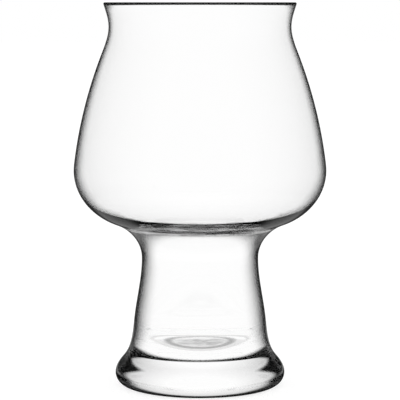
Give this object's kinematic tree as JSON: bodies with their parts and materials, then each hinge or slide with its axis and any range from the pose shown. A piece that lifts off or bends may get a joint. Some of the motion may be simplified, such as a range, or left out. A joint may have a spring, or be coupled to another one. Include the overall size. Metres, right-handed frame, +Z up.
{
  "type": "cider glass",
  "caption": "Clear cider glass in one piece: flared lip, narrow neck, wide belly, short hollow waisted stem and a solid round foot. Holds a long drink.",
  "frame": {"origin": "centre of the resting face", "axes": "+Z up along the glass's axis, from the foot to the lip; the glass is round, so +X and +Y are free"},
  "size_m": [0.0936, 0.0934, 0.142],
  "materials": {
    "clear_glass": "polished"
  },
  "bodies": {
    "root": {"cider_glass": "clear_glass"}
  },
  "joints": []
}
